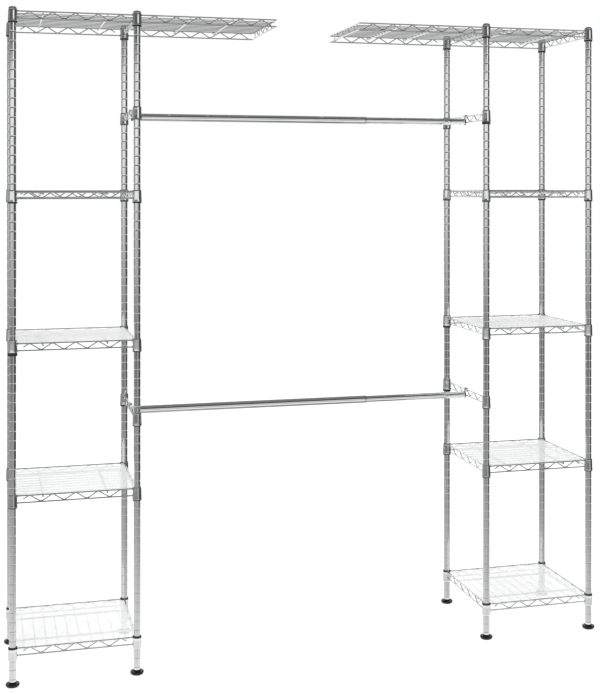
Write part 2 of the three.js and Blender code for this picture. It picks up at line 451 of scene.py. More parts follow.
@dataclass(frozen=True)
class Chrome(Look):
    """Bright plating over drawn wire and rolled tube."""

    light: Triple = (0.84, 0.845, 0.85)
    dull: Triple = (0.74, 0.745, 0.755)
    roughness: float = 0.07
    haze: float = 0.05
    draw: Triple = (1.0, 1.0, 0.08)
    cloud_scale: float = 22.0
    line_scale: float = 900.0
    speck_scale: float = 420.0
    relief: float = 0.06 * MM

    def sockets(self, shading: Shading, place: Value) -> dict[str | int, Link]:
        """Plating that is a little uneven.

        Args:
            shading: the material's node maker.
            place: the place on the piece.

        Returns:
            A metal whose colour dulls and whose roughness rises in soft clouds a few centimetres
            across, with fine drawing lines that run along the piece.
        """
        clouds = shading.noise(place, self.cloud_scale, 3.0)
        lines = shading.noise(place, self.line_scale, 2.0, self.draw)
        specks = shading.noise(place, self.speck_scale, 4.0)
        dull = clouds.between(0.45, 0.75) * 0.6 + specks.between(0.62, 0.8) * 0.4
        rough = clouds.between(0.35, 0.8) * self.haze + lines * 0.03 + (self.roughness - 0.015)
        return {
            "Base Color": shading.shade(self.light, self.dull, dull),
            "Metallic": 1.0,
            "Roughness": rough,
            "Normal": shading.bump(lines * 0.6 + specks * 0.4, 0.05, self.relief),
        }


@dataclass(frozen=True)
class Moulding(Look):
    """Injection-moulded black plastic with a fine spark grain."""

    deep: Triple = (0.012, 0.012, 0.013)
    worn: Triple = (0.045, 0.045, 0.048)
    roughness: float = 0.34
    grain: float = 0.25
    cloud_scale: float = 45.0
    grain_scale: float = 1800.0
    relief: float = 0.08 * MM

    def sockets(self, shading: Shading, place: Value) -> dict[str | int, Link]:
        """Plastic with a grain.

        Args:
            shading: the material's node maker.
            place: the place on the piece.

        Returns:
            A plastic that greys a little in clouds, with grain half a millimetre across.
        """
        clouds = shading.noise(place, self.cloud_scale, 4.0)
        grain = shading.noise(place, self.grain_scale, 2.0)
        return {
            "Base Color": shading.shade(self.deep, self.worn, clouds.between(0.45, 0.8)),
            "Roughness": clouds.between(0.3, 0.8) * 0.16 + grain * 0.08 + (self.roughness - 0.04),
            "Normal": shading.bump(grain, self.grain, self.relief),
        }


@dataclass(frozen=True)
class MilkySheet(Look):
    """Translucent polypropylene sheet with a fine haircell emboss."""

    clear: Triple = (0.965, 0.97, 0.975)
    dense: Triple = (0.98, 0.98, 0.98)
    alpha: float = 0.48
    roughness: float = 0.36
    cloud_scale: float = 9.0
    skin_scale: float = 900.0
    relief: float = 0.05 * MM

    def sockets(self, shading: Shading, place: Value) -> dict[str | int, Link]:
        """Sheet that lets the deck show through.

        Args:
            shading: the material's node maker.
            place: the place on the piece.

        Returns:
            A see-through white plastic, denser in soft clouds, with an embossed skin.
        """
        clouds = shading.noise(place, self.cloud_scale, 3.0)
        skin = shading.noise(place, self.skin_scale, 3.0)
        return {
            "Base Color": shading.shade(self.clear, self.dense, clouds.between(0.35, 0.7)),
            "Roughness": skin * 0.12 + clouds.between(0.3, 0.7) * 0.03 + self.roughness,
            "Alpha": clouds.between(0.3, 0.75) * 0.03 + (self.alpha - 0.015),
            "Normal": shading.bump(skin, 0.12, self.relief),
        }


class Finish(Enum):
    """The wardrobe's finishes, each with the slot that it fills."""

    CHROME = ("chrome", Chrome("bright_plated_steel"))
    # Painted shade: a copy of the plating with its base colour darkened to about half, so that the
    # deck wires and the front and rear trusses of every shelf above the bottom one render darker.
    WIRE = ("chrome", Chrome("bright_plated_wire", (0.5, 0.505, 0.512), (0.4, 0.405, 0.412), 0.05))
    POLE = ("chrome", Chrome("bright_plated_pole", roughness=0.06, haze=0.04))
    ROD = (
        "rod_chrome",
        Chrome("bright_plated_rod", roughness=0.035, haze=0.03, draw=(0.08, 1.0, 1.0)),
    )
    FOOT = (
        "foot_black",
        Moulding("black_foot", (0.004, 0.004, 0.0045), (0.016, 0.016, 0.018), 0.17, 0.075),
    )
    FITTING = ("fitting_black", Moulding("black_fitting"))
    LINER = ("liner", MilkySheet("milky_liner"))

    def __init__(self, slot: str, look: Look) -> None:
        """Keeps the slot and the look."""
        self.slot = slot
        self.look = look


class Workshop:
    """Turns surfaces into finished pieces that ride on a body."""

    def __init__(self) -> None:
        """Makes every finish once."""
        self.materials = {finish: finish.look.material() for finish in Finish}
        self.made = 0

    def piece(
        self,
        name: str,
        surface: Surface,
        finish: Finish,
        body: str,
        replaces: Sequence[str] = (),
        crease: float = 40.0,
    ) -> None:
        """Makes one piece, its object at the origin.

        Args:
            name: the piece's name.
            surface: its surface, in place.
            finish: its finish.
            body: the body that it rides on.
            replaces: the nodes that it stands for.
            crease: the angle in degrees past which an edge stays sharp.
        """
        mesh = bpy.data.meshes.new(name)
        sizes = np.concatenate([np.full(len(face), face.shape[1]) for face in surface.faces])
        corners = np.concatenate([face.reshape(-1) for face in surface.faces])
        mesh.vertices.add(len(surface.points))
        mesh.vertices.foreach_set("co", surface.points.astype(np.float32).ravel())
        mesh.loops.add(len(corners))
        mesh.loops.foreach_set("vertex_index", corners.astype(np.int32))
        mesh.polygons.add(len(sizes))
        mesh.polygons.foreach_set("loop_start", (np.cumsum(sizes) - sizes).astype(np.int32))
        mesh.update(calc_edges=True)
        mesh.validate()
        mesh.shade_smooth()
        mesh.set_sharp_from_angle(angle=math.radians(crease))
        mesh.materials.append(self.materials[finish])
        made = bpy.data.objects.new(name, mesh)
        bpy.context.scene.collection.objects.link(made)
        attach(made, body)
        if replaces:
            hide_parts(*replaces)
        self.made += 1
        LOG.info("%s: %d faces, on %s", name, len(sizes), body)


# The wardrobe's sizes


@dataclass(frozen=True)
class Sizes:
    """The sizes that several sub-assemblies share."""

    pole_pitch: float = 330.2 * MM
    open_span: float = 1025 * MM
    overhang: float = 392 * MM
    groove_pitch: float = 25.4 * MM
    lowest_clip: float = 71.1 * MM
    shelf_grooves: tuple[tuple[str, int], ...] = (
        ("bottom", 0), ("low", 16), ("middle", 32), ("high", 48), ("top", 67),
    )
    bracket_grooves: tuple[tuple[str, int], ...] = (("lower", 24), ("upper", 57))
    low_rail: float = 11 * MM
    high_rail: float = 29.6 * MM
    rail_radius: float = 1.9 * MM
    rod_rise: float = 13 * MM
    fit: float = 0.3 * MM

    @property
    def half(self) -> float:
        """Half the pole pitch."""
        return self.pole_pitch / 2

    @property
    def tower_centre(self) -> float:
        """How far each tower's middle is from the wardrobe's."""
        return self.open_span / 2 + self.half

    def clip(self, grooves: int) -> float:
        """The height of a clip, counted in grooves from the lowest."""
        return self.lowest_clip + grooves * self.groove_pitch

    def axis(self, side: Side, across: int, deep: int) -> tuple[float, float]:
        """The X and Y of the pole at a tower's corner."""
        x = side.value * (self.tower_centre - across * self.half)
        return x, -side.value * deep * self.half


class Side(Enum):
    """The two towers; the value is the sign of a tower's X."""

    LEFT = -1
    RIGHT = 1

    @property
    def word(self) -> str:
        """The tower's word in the names of its pieces."""
        return self.name.lower()

    @property
    def body(self) -> str:
        """The body that the tower is."""
        return f"{self.word}_tower"

    @property
    def quarters(self) -> int:
        """The tower's quarter turns: the right one is the left one turned half round."""
        return self.value + 1

    def corner(self, across: int, deep: int) -> str:
        """A corner's name.

        Args:
            across: 1 for the inner poles, -1 for the outer ones.
            deep: 1 or -1, along the tower's own Y.

        Returns:
            Such as inner_front.
        """
        front = (deep < 0) == (self is Side.LEFT)
        return f"{'inner' if across > 0 else 'outer'}_{'front' if front else 'rear'}"


Corners = tuple[tuple[int, int], ...]
CORNERS: Corners = ((-1, -1), (-1, 1), (1, -1), (1, 1))


@dataclass
class LevellingFoot:
    """A round bowl with a raised neck and its threaded stem."""

    radius: float = 18.4 * MM
    base: float = 13.5 * MM
    edge: float = 0.6 * MM
    bowl_start: float = 0.5 * MM
    bowl_rise: float = 6.3 * MM
    rim_round: float = 2.4 * MM
    rim_height: float = 7.6 * MM
    shoulder: tuple[tuple[float, float], ...] = ((13.2, 9.7), (11.6, 9.8), (10.9, 10.2))
    neck: float = 9.9 * MM
    neck_height: float = 11.1 * MM
    stem: float = 4 * MM
    stem_start: float = 11.7 * MM
    thread_start: float = 12.6 * MM
    thread_pitch: float = 1.25 * MM
    thread_depth: float = 0.35 * MM
    half_turns: int = 28
    stem_tip: float = 0.8 * MM

    def surface(self) -> Surface:
        """The foot about its own axis.

        Returns:
            A lathe surface. The bowl's side is a quarter ellipse from the base to the rim, and
            the thread is a row of ridges.
        """
        angle = np.linspace(0.15, math.pi / 2, 9)
        reach = self.base + (self.radius - self.base) * np.sin(angle)
        bowl = np.stack([reach, self.bowl_start + self.bowl_rise * (1 - np.cos(angle))], axis=1)
        ridge = np.arange(self.half_turns)
        rise = self.thread_start + ridge * self.thread_pitch
        thread = np.stack([self.stem - self.thread_depth * (ridge % 2), rise], axis=1)
        end = rise[-1] + self.stem_tip
        return lathe(np.concatenate([
            [[0, 0]],
            arc((self.base - self.edge, self.edge), self.edge, -90, -20),
            bowl,
            arc((self.radius - self.rim_round, self.rim_height), self.rim_round, 5, 82, 7),
            np.array(self.shoulder) * MM,
            arc((self.neck, self.neck_height), self.edge, 0, 90),
            [[self.stem, self.stem_start]],
            thread,
            [[self.stem - self.stem_tip, end], [0, end]],
        ]), 48)


@dataclass
class Poles:
    """The grooved poles with their caps and levelling feet."""

    sizes: Sizes
    radius: float = 9.5 * MM
    bore: float = 8.3 * MM
    insert_bore: float = 4.3 * MM
    insert_length: float = 30 * MM
    bottom: float = 12 * MM
    collar_top: float = 34 * MM
    end_round: float = 0.5 * MM
    end_clear: float = 4 * MM
    groove_depth: float = 0.75 * MM
    groove_half: float = 1.6 * MM
    lower_sides: tuple[float, float] = (0.45, 1.25)
    hand_height: float = 1210 * MM
    cap_radius: float = 11.5 * MM
    cap_rim: float = 1.3 * MM
    cap_crown: float = 8.2 * MM
    dome_power: float = 2.4
    plug_length: float = 15 * MM
    plug_bevel: float = 1 * MM

    @property
    def top(self) -> float:
        """The height of a pole's upper end."""
        return self.sizes.clip(self.sizes.shelf_grooves[-1][1]) + self.collar_top

    def grooved_wall(self) -> np.ndarray:
        """The outside of a pole, upwards.

        Returns:
            Radius and height. The radius dips at each groove by half the depth times
            (1 + cos(pi s)), where s is the distance from the groove's deepest ring as a share of
            the half width. The lower side is steeper than the upper one on the grooves under
            hand height, and gentler on those above.
        """
        low, high = self.bottom + self.end_clear, self.top - self.end_clear
        below = math.ceil((low - self.sizes.lowest_clip) / self.sizes.groove_pitch)
        above = math.floor((high - self.sizes.lowest_clip) / self.sizes.groove_pitch)
        middles = self.sizes.lowest_clip + np.arange(below, above + 1) * self.sizes.groove_pitch
        share = np.array([-1.25, -1.0, -0.6, -0.25, 0.25, 0.6, 1.0, 1.25])
        lower_side = np.where(middles < self.hand_height, *self.lower_sides)[:, None]
        reach = share * self.groove_half * np.where(share < 0, lower_side, 1.0)
        dip = np.tile(0.5 * (1 + np.cos(math.pi * np.clip(share, -1, 1))), len(middles))
        height = (middles[:, None] + reach).ravel()
        return np.stack([self.radius - self.groove_depth * dip, height], axis=1)

    def pole(self) -> Surface:
        """A pole about its own axis.

        Returns:
            A lathe surface, grooved outside, with the threaded insert's narrow bore at its foot.
        """
        soft, insert = self.end_round, self.bottom + self.insert_length
        return lathe(np.concatenate([
            arc((self.radius - soft, self.bottom + soft), soft, -90, 0),
            self.grooved_wall(),
            arc((self.radius - soft, self.top - soft), soft, 0, 90),
            [[self.bore, self.top], [self.bore, insert]],
            [[self.insert_bore, insert], [self.insert_bore, self.bottom]],
        ]), 32)

    def cap(self) -> Surface:
        """A pole cap: a plug, a thin rim and a dome.

        Returns:
            A lathe surface. Above the rim the dome's height is the rim plus (crown - rim) times
            sqrt(1 - s^power), where s is the radius over the rim's radius.
        """
        base, soft = self.top + self.sizes.fit, self.end_round
        share = np.cos(np.linspace(0, math.pi / 2, 14))
        share[-1] = 0.0
        bulge = (self.cap_crown - self.cap_rim) * np.sqrt(1 - share**self.dome_power)
        dome = np.stack([self.cap_radius * share, base + self.cap_rim + bulge], axis=1)
        plug, end = self.bore - self.sizes.fit, base - self.plug_length
        bevel = self.plug_bevel
        shank = [[0, end], [plug - bevel, end], [plug, end + bevel], [plug, base]]
        edge = arc((self.cap_radius - soft, base + soft), soft, -90, 0)
        return lathe(np.concatenate([shank, edge, dome]))

    def build(self, shop: Workshop, side: Side) -> None:
        """Makes the four poles of a tower, with caps and feet.

        Args:
            shop: what makes the pieces.
            side: the tower.
        """
        pole, cap, foot = self.pole(), self.cap(), LevellingFoot().surface()
        for across, deep in CORNERS:
            name = f"{side.word}_{side.corner(across, deep)}"
            x, y = self.sizes.axis(side, across, deep)
            body, foot_body = side.body, f"{name}_levelling_foot"
            shop.piece(
                f"{name}_grooved_pole", pole.moved(x, y), Finish.POLE, body, [f"{name}_pole"], 30
            )
            shop.piece(
                f"{name}_domed_cap", cap.moved(x, y), Finish.POLE, body, [f"{name}_cap"], 35
            )
            shop.piece(
                f"{name}_foot_pad", foot.moved(x, y), Finish.FOOT, foot_body, [f"{name}_foot"]
            )


class Ring(Enum):
    """Which end of a collar the black sleeve shows at."""

    BELOW = "below"
    ABOVE = "above"


@dataclass
class Wirework:
    """Collars, sleeves and welded trusses: what shelves and side brackets are made of."""

    sizes: Sizes
    collar_low: float = 13 * MM
    upset_low: float = 12.55 * MM
    collar_high: float = 12 * MM
    collar_wall: float = 1.7 * MM
    collar_height: float = 34 * MM
    collar_drop: float = 2 * MM
    lip_round: float = 0.7 * MM
    skirt_inset: float = 0.25 * MM
    skirt_rise: float = 3 * MM
    shoulder_reach: float = 1.5 * MM
    shoulder_fall: float = 3.5 * MM
    thin_ring: float = 2.6 * MM
    high_ring: float = 5 * MM
    sleeve_bore: float = 9.75 * MM
    sleeve_gap: float = 0.15 * MM
    sleeve_rim: float = 1.3 * MM
    rim_gap: float = 0.2 * MM
    sleeve_end: float = 1 * MM
    slit_share: float = 0.02
    zigzag_radius: float = 1.6 * MM
    zigzag_pitch: float = 60.6 * MM
    first_peak: float = 43.9 * MM
    bend_reach: float = 5.5 * MM
    stub_share: float = 0.5
    weld_reach: float = 3.2 * MM
    weld_depth: float = 0.7 * MM
    tall_rings: dict[str, float] = field(default_factory=lambda: {
        "left_middle_outer_front": 9 * MM,
        "left_bottom": 4 * MM,
        "right_bottom": 4 * MM,
        "right_top": 4.6 * MM,
        "left_top": 4.6 * MM,
        "left_high": 4.2 * MM,
        "right_high": 4.2 * MM,
        "right_middle_inner_rear": 6 * MM,
        "right_upper_inner_front": 8.4 * MM,
        "right_lower_inner_rear": 6 * MM,
        "left_lower_inner_rear": 4.5 * MM,
    })

    def show(self, name: str, corner: str) -> float:
        """How far a sleeve shows past its collar, by the shelf's or bracket's name and corner."""
        usual = self.tall_rings.get(name, self.thin_ring)
        return self.tall_rings.get(f"{name}_{corner}", usual)

    def collar(self, show: float, ring: Ring) -> Surface:
        """A plated steel collar about its own axis, wide at the end where the sleeve shows.

        Args:
            show: how much of the sleeve shows past it. A collar that rides high on its sleeve
                keeps its length and moves up.
            ring: the end where the sleeve shows.

        Returns:
            A tapered ring with a rolled lip at its wide end and a soft shoulder at the other.
        """
        base, soft, fall = show - self.collar_drop, self.shoulder_reach, self.shoulder_fall
        height = self.collar_height + (show - self.thin_ring if show > self.high_ring else 0.0)
        wide, narrow, wall = self.wide_end(ring), self.collar_high, self.collar_wall
        lip = arc((wide - self.lip_round, base + self.lip_round), self.lip_round, -90, 20)
        bend = around(np.linspace(0, math.pi / 2, 6))
        top = np.array([narrow - soft, height - fall]) + np.array([soft, fall]) * bend
        low = (wide - self.skirt_inset, base + self.skirt_rise)
        skirt = np.linspace(low, (narrow, height - 1.5 * fall), 5)
        inside = [[narrow - wall, height], [wide - wall, base]]
        return self.ended(lathe(np.concatenate([lip, skirt, top, inside])), ring)

    def wide_end(self, ring: Ring) -> float:
        """The radius of a collar's wide end: less on collars that are upside down."""
        return self.collar_low if ring is Ring.BELOW else self.upset_low

    def ended(self, piece: Surface, ring: Ring) -> Surface:
        """A collar or sleeve, the right way up for its shelf.

        Args:
            piece: the piece with its wide end below.
            ring: the end where the sleeve shows.

        Returns:
            The piece as it is, or upside down about the middle of the collar's height.
        """
        if ring is Ring.BELOW:
            return piece
        upset = Surface(piece.points * np.array([1, -1, -1]), piece.faces)
        return upset.moved(z=self.collar_height - self.collar_drop)

    def sleeve(self, show: float, ring: Ring) -> Surface:
        """A split plastic sleeve about its own axis: two half shells between collar and pole.

        Args:
            show: how much of it shows past the collar.
            ring: the end where it shows.

        Returns:
            Two half shells with a slit on either side, each of the outline's rings, from one slit
            to the next.
        """
        base, inset = -self.collar_drop, self.collar_wall + self.sleeve_gap
        wide, narrow = self.wide_end(ring) - inset, self.collar_high - inset
        lip, end = base + show - self.rim_gap, self.collar_height - self.sleeve_end
        outline = np.array([
            [wide + self.sleeve_rim, base], [wide + self.sleeve_rim, lip], [wide, lip],
            [narrow, end], [self.sleeve_bore, end], [self.sleeve_bore, base],
        ])
        halves = []
        for start in (0.0, 0.5):
            share = np.linspace(start + self.slit_share, start + 0.5 - self.slit_share, 16)
            halves.append(closed_grid(rings(outline, 2 * math.pi * share)[::-1].swapaxes(0, 1)))
        return self.ended(merged(halves), ring)

    def fasten(
        self, shop: Workshop, side: Side, level: str, grooves: int, corners: Corners, kind: str,
        ring: Ring = Ring.BELOW,
    ) -> Surface:
        """Makes the split sleeves that hold a shelf or a bracket on its poles.

        Args:
            shop: what makes the pieces.
            side: the tower.
            level: the shelf's or bracket's own word.
            grooves: the clip's place, counted in grooves.
            corners: the poles that it is held on.
            kind: what its sleeves are called.
            ring: the end of the collars where the sleeves show.

        Returns:
            The collars that go over the sleeves.
        """
        collars, height = [], self.sizes.clip(grooves)
        for across, deep in corners:
            name, corner = f"{side.word}_{level}", side.corner(across, deep)
            x, y = self.sizes.axis(side, across, deep)
            show = self.show(name, corner)
            collars.append(self.collar(show, ring).moved(x, y, height))
            sleeve = self.sleeve(show, ring).moved(x, y, height)
            shop.piece(f"{name}_{corner}_{kind}", sleeve, Finish.FITTING, side.body, (), 30)
        return merged(collars)

    def zigzag(self, start: float, end: float, high: bool, low_end: bool) -> np.ndarray:
        """The path of a zigzag between the two rails, in x and z.

        Args:
            start: the first bend.
            end: the last bend.
            high: whether the zigzag starts on the high rail.
            low_end: whether it ends on the low rail.

        Returns:
            Bends evenly spaced from start to end, high and low in turn, rounded off. A free stub
            runs on from each bend that ends on the high rail, down by the stub's share.
        """
        odd = 1 if high == low_end else 0
        pairs = max(1, round((end - start) / self.zigzag_pitch - odd / 2))
        x = np.linspace(start, end, 2 * pairs + odd + 1)
        is_high = (np.arange(len(x)) % 2 == 0) == high
        z = np.where(is_high, self.sizes.high_rail, self.sizes.low_rail)
        reach = (x[1] - x[0]) * self.stub_share
        drop = (self.sizes.high_rail - self.sizes.low_rail) * self.stub_share
        points = np.stack([x, z], axis=1)
        if high:
            points = np.concatenate([[[start - reach, z[0] - drop]], points])
        if not low_end:
            points = np.concatenate([points, [[end + reach, z[-1] - drop]]])
        return bent(points, self.bend_reach)

    def weld(self, x: float, way: int, level: float) -> Surface:
        """The fillet round a rail's end.

        Args:
            x: the rail's end.
            way: 1 or -1, from that end along the rail.
            level: the rail's height.

        Returns:
            A sweep that starts 1.9 times as thick as the rail and thins out to it as a parabola.
        """
        share = np.linspace(0, 1, 6)
        line = np.stack([x + way * self.weld_reach * share, 0 * share, level + 0 * share], axis=1)
        section = round_section(self.sizes.rail_radius * 1.02)
        return sweep(line, section, UP, 1 + 0.9 * (1 - share) ** 2)

    def truss(
        self,
        start: float,
        end: float,
        bends: tuple[float, float],
        inward: float,
        high: bool = True,
        low_end: bool = False,
        welds: tuple[bool, bool] = (True, True),
    ) -> Surface:
        """Two rails and the zigzag welded to their inner side, along X in the plane y = 0.

        Args:
            start: where the rails start.
            end: where they end.
            bends: the zigzag's first and last bend.
            inward: 1 or -1, the side of the rails that the zigzag lies on.
            high: whether the zigzag starts on the high rail.
            low_end: whether it ends on the low rail.
            welds: whether there is a weld collar at the rails' two ends.

        Returns:
            The wires and their weld fillets.
        """
        radius, parts = self.sizes.rail_radius, []
        for level in (self.sizes.low_rail, self.sizes.high_rail):
            parts.append(straight((start, 0, level), (end, 0, level), radius))
            for x, way, welded in ((start, 1, welds[0]), (end, -1, welds[1])):
                if welded:
                    parts.append(self.weld(x, way, level))
        flat = self.zigzag(*bends, high, low_end)
        offset = np.full(len(flat), inward * (radius + self.zigzag_radius - self.weld_depth))
        path = np.stack([flat[:, 0], offset, flat[:, 1]], axis=1)
        return merged([*parts, wire(path, self.zigzag_radius, DEEP, 10)])

    def side(self, inward: float) -> Surface:
        """The truss between two collars a pole pitch apart, centred on x = 0."""
        reach, peak = self.sizes.half - self.collar_high, self.sizes.half - self.first_peak
        return self.truss(-reach, reach, (-peak, peak), inward)


@dataclass
class Shelves:
    """The wire shelves of a tower with their sleeves and liners."""

    sizes: Sizes
    work: Wirework
    deck_radius: float = 1.4 * MM
    deck_rise: float = 26.7 * MM
    deck_pitch: float = 30 * MM
    rib_radius: float = 2.75 * MM
    rib_rise: float = 22.25 * MM
    rib_share: float = 0.26
    rib_inset: float = 1 * MM
    rib_turn: float = 5.5 * MM
    rib_seat: float = 2 * MM
    rib_bend: float = 3 * MM
    overhang_rib_shares: tuple[float, float] = (0.378, 0.681)
    overhang_first_peak: float = 48.7 * MM
    last_valley: float = 13.3 * MM
    liner_half: float = 162.6 * MM
    liner_corner: float = 15 * MM
    liner_bend: float = 5 * MM
    liner_thick: float = 1 * MM

    def deck(self, start: float, end: float) -> list[Surface]:
        """The thin wires from one end truss to the other.

        Args:
            start: where they start.
            end: where they end.

        Returns:
            The wires, spaced evenly between the front truss and the rear one.
        """
        count = round(self.sizes.pole_pitch / self.deck_pitch) - 1
        places = (np.arange(count) + 1) * self.sizes.pole_pitch / (count + 1) - self.sizes.half
        rise, radius = self.deck_rise, self.deck_radius
        return [straight((start, y, rise), (end, y, rise), radius, 10) for y in places]

    def rib(self, x: float) -> Surface:
        """A thicker wire under the deck.

        Args:
            x: its place along the shelf.

        Returns:
            A sweep that runs level and turns up to the high rails at its two ends, thinning there.
        """
        end, turn = self.sizes.half - self.rib_inset, self.sizes.half - self.rib_turn
        seat = self.sizes.high_rail - self.rib_seat
        corners = [[-end, seat], [-turn, self.rib_rise], [turn, self.rib_rise], [end, seat]]
        flat = bent(np.array(corners), self.rib_bend)
        path = np.stack([np.full(len(flat), x), flat[:, 0], flat[:, 1]], axis=1)
        swell = 1 - 0.45 * np.clip((np.abs(flat[:, 0]) - turn) / (end - turn), 0, 1)
        return sweep(path, round_section(self.rib_radius), ACROSS, swell)

    def ribs(self, is_top: bool) -> Surface:
        """A shelf's ribs, about the tower's middle.

        Args:
            is_top: whether the shelf runs on past the inner poles.

        Returns:
            Two ribs between the poles, and those of the overhang.
        """
        places = [sign * self.rib_share * self.sizes.pole_pitch for sign in (-1, 1)]
        if is_top:
            shares = self.overhang_rib_shares
            places += [self.sizes.half + share * self.sizes.overhang for share in shares]
        return merged(self.rib(x) for x in places)

    def wires(self, is_top: bool) -> tuple[Surface, Surface]:
        """All of a shelf's thinner wires, about the tower's middle.

        Args:
            is_top: whether the shelf runs on past the inner poles.

        Returns:
            The deck with the trusses along it, and the trusses at its ends.
        """
        half, work = self.sizes.half, self.work
        along = [work.side(1).moved(y=-half), work.side(-1).moved(y=half)]
        ends = [work.side(-1).turned(1).moved(x=-half), work.side(1).turned(1).moved(x=half)]
        edge = half
        if is_top:
            tip = half + self.sizes.overhang
            edge = tip - self.sizes.rail_radius
            bends = (half + self.overhang_first_peak, tip - self.last_valley)
            start = half + work.collar_high
            for inward in (1, -1):
                run = work.truss(start, edge, bends, inward, low_end=True, welds=(True, False))
                along.append(run.moved(y=-inward * half))
            peak, bare = half - work.first_peak, (False, False)
            end = work.truss(-half, half, (-peak, peak), 1, high=False, low_end=True, welds=bare)
            ends.append(end.turned(1).moved(x=edge))
        return merged([*along, *self.deck(-half, edge)]), merged(ends)

    def liner(self) -> Surface:
        """A liner sheet about the tower's middle, its underside at z = 0.

        Returns:
            Point (i, j) = share i times outline j, so that the sheet's rings shrink to its middle.
            The underside, a rounded edge and the upper side follow one another.
        """
        half, cut = self.liner_half, self.liner_half - self.liner_corner
        corners = [
            [half, -cut], [half, cut], [cut, half], [-cut, half],
            [-half, cut], [-half, -cut], [-cut, -half], [cut, -half],
        ]
        outline = bent(np.array(corners), self.liner_bend, closed=True)
        share = np.array([0.01, 0.3, 0.6, 0.85, 0.97, 0.9975, 1.0, 1.0, 0.9975, 0.97, 0.6, 0.01])
        level = np.array([0, 0, 0, 0, 0, 0, 0.25, 0.75, 1, 1, 1, 1]) * self.liner_thick
        return closed_grid(raised(share[:, None, None] * outline, level))

    def build(self, shop: Workshop, side: Side) -> None:
        """Makes the five shelves of a tower, with sleeves and liners.

        Args:
            shop: what makes the pieces.
            side: the tower.
        """
        centre, liner = side.value * self.sizes.tower_centre, self.liner()
        for level, grooves in self.sizes.shelf_grooves:
            name, height = f"{side.word}_{level}", self.sizes.clip(grooves)
            is_bottom, is_top = level == "bottom", level == "top"
            turn = side.quarters + (1 if is_bottom else 0)
            parts = (*self.wires(is_top), self.ribs(is_top))
            along, ends, ribs = (part.turned(turn).moved(centre, 0, height) for part in parts)
            ring = Ring.ABOVE if is_bottom else Ring.BELOW
            collars = self.work.fasten(shop, side, level, grooves, CORNERS, "split_sleeve", ring)
            # Painted shade: above the bottom shelf, the deck wires and the front and rear trusses
            # take the darkened copy of the plating; the bottom shelf, and every shelf's end
            # trusses, collars and ribs, keep the bright plating.
            look = Finish.CHROME if is_bottom else Finish.WIRE
            shop.piece(f"{name}_wire_shelf", along, look, side.body, [f"{name}_shelf"])
            shop.piece(f"{name}_end_trusses", ends, Finish.CHROME, side.body)
            shop.piece(f"{name}_shelf_collars", collars, Finish.CHROME, side.body)
            shop.piece(f"{name}_shelf_ribs", ribs, Finish.CHROME, side.body)
            if not is_top:
                rise = height + self.deck_rise + self.deck_radius + self.sizes.fit
                sheet, nodes = liner.moved(centre, 0, rise), [f"{name}_liner"]
                shop.piece(f"{name}_liner_sheet", sheet, Finish.LINER, side.body, nodes, 50)


@dataclass(frozen=True)
class Tube:
    """One of a rod's two tubes: its outside radius, wall and length."""

    radius: float
    wall: float
    length: float


